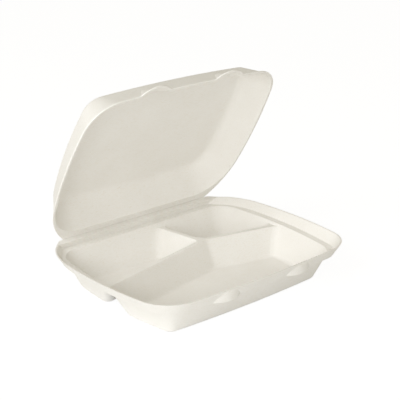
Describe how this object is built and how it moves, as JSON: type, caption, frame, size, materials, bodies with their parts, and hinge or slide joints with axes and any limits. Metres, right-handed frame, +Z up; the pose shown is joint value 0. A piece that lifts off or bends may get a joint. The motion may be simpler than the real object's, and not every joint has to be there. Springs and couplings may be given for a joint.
{
  "type": "compartment meal box",
  "caption": "Moulded fibre meal box: a divided tray with a sloping rim band and a hinged domed lid with snap locks.",
  "frame": {"origin": "middle of the tray's flat underside, half way from the crease to the front edge", "axes": "+X along the crease, to the right seen from the front; +Y towards the crease at the back; +Z up out of the tray"},
  "size_m": [0.2426, 0.1964, 0.1952],
  "materials": {
    "pulp": "matt moulded plant fibre, off-white"
  },
  "bodies": {
    "tray": {"tray": "pulp"},
    "lid": {"lid": "pulp"}
  },
  "joints": [
    {"name": "lid_crease", "type": "hinge", "parent": "tray", "child": "lid", "pos_m": [0, 0.092, 0.038], "axis": [-1, 0, 0], "range_deg": [-63, 120]}
  ]
}
